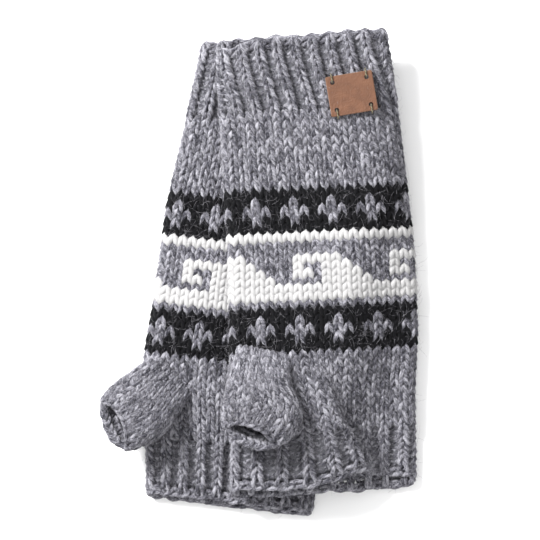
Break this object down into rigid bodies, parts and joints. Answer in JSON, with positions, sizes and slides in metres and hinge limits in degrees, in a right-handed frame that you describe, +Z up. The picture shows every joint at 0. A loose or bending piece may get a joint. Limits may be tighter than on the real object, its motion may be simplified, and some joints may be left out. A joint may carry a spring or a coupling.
{
  "type": "fingerless knitted mitts",
  "caption": "Thick wool fingerless mitts with thumb sleeves, star and wave colourwork bands and a leather cuff label, laid across each other.",
  "frame": {"origin": "middle of the pair's outline, on the table", "axes": "+X across the mitts to the right, +Y along them towards the wrist cuffs, +Z up from the table"},
  "size_m": [0.1631, 0.2383, 0.0424],
  "materials": {
    "grey_wool": "heathered grey wool yarn, hand knitted",
    "black_wool": "black wool yarn with grey wool stars, stranded knitting",
    "cream_wool": "cream wool yarn with grey wool waves, stranded knitting",
    "tan_leather": "matt vegetable-tanned leather with cut edges",
    "linen_thread": "waxed sewing thread"
  },
  "bodies": {
    "lower_mitt": {"lower_cast_on_edge": "grey_wool", "lower_cuff_rib": "grey_wool", "lower_wrist_knit": "grey_wool", "lower_wrist_star_band": "black_wool", "lower_wave_band": "cream_wool", "lower_knuckle_star_band": "black_wool", "lower_hand_knit": "grey_wool", "lower_finger_rib": "grey_wool", "lower_bind_off_edge": "grey_wool"},
    "lower_thumb": {"lower_thumb_sleeve": "grey_wool", "lower_thumb_edge": "grey_wool"},
    "upper_mitt": {"upper_cast_on_edge": "grey_wool", "upper_cuff_rib": "grey_wool", "upper_wrist_knit": "grey_wool", "upper_wrist_star_band": "black_wool", "upper_wave_band": "cream_wool", "upper_knuckle_star_band": "black_wool", "upper_hand_knit": "grey_wool", "upper_finger_rib": "grey_wool", "upper_bind_off_edge": "grey_wool", "label": "tan_leather", "label_threads": "linen_thread"},
    "upper_thumb": {"upper_thumb_sleeve": "grey_wool", "upper_thumb_edge": "grey_wool"}
  },
  "joints": [
    {"name": "upper_mitt_lift", "type": "slide", "parent": "lower_mitt", "child": "upper_mitt", "axis": [0, 0, 1], "range_m": [0, 0.08]},
    {"name": "lower_thumb_swing", "type": "hinge", "parent": "lower_mitt", "child": "lower_thumb", "pos_m": [-0.0462, -0.0542, 0.0136], "axis": [-0.6494, 0.7604, 0], "range_deg": [0, 55]},
    {"name": "upper_thumb_swing", "type": "hinge", "parent": "upper_mitt", "child": "upper_thumb", "pos_m": [0.0026, -0.0435, 0.0272], "axis": [-0.9833, 0.1822, 0], "range_deg": [0, 55]}
  ]
}
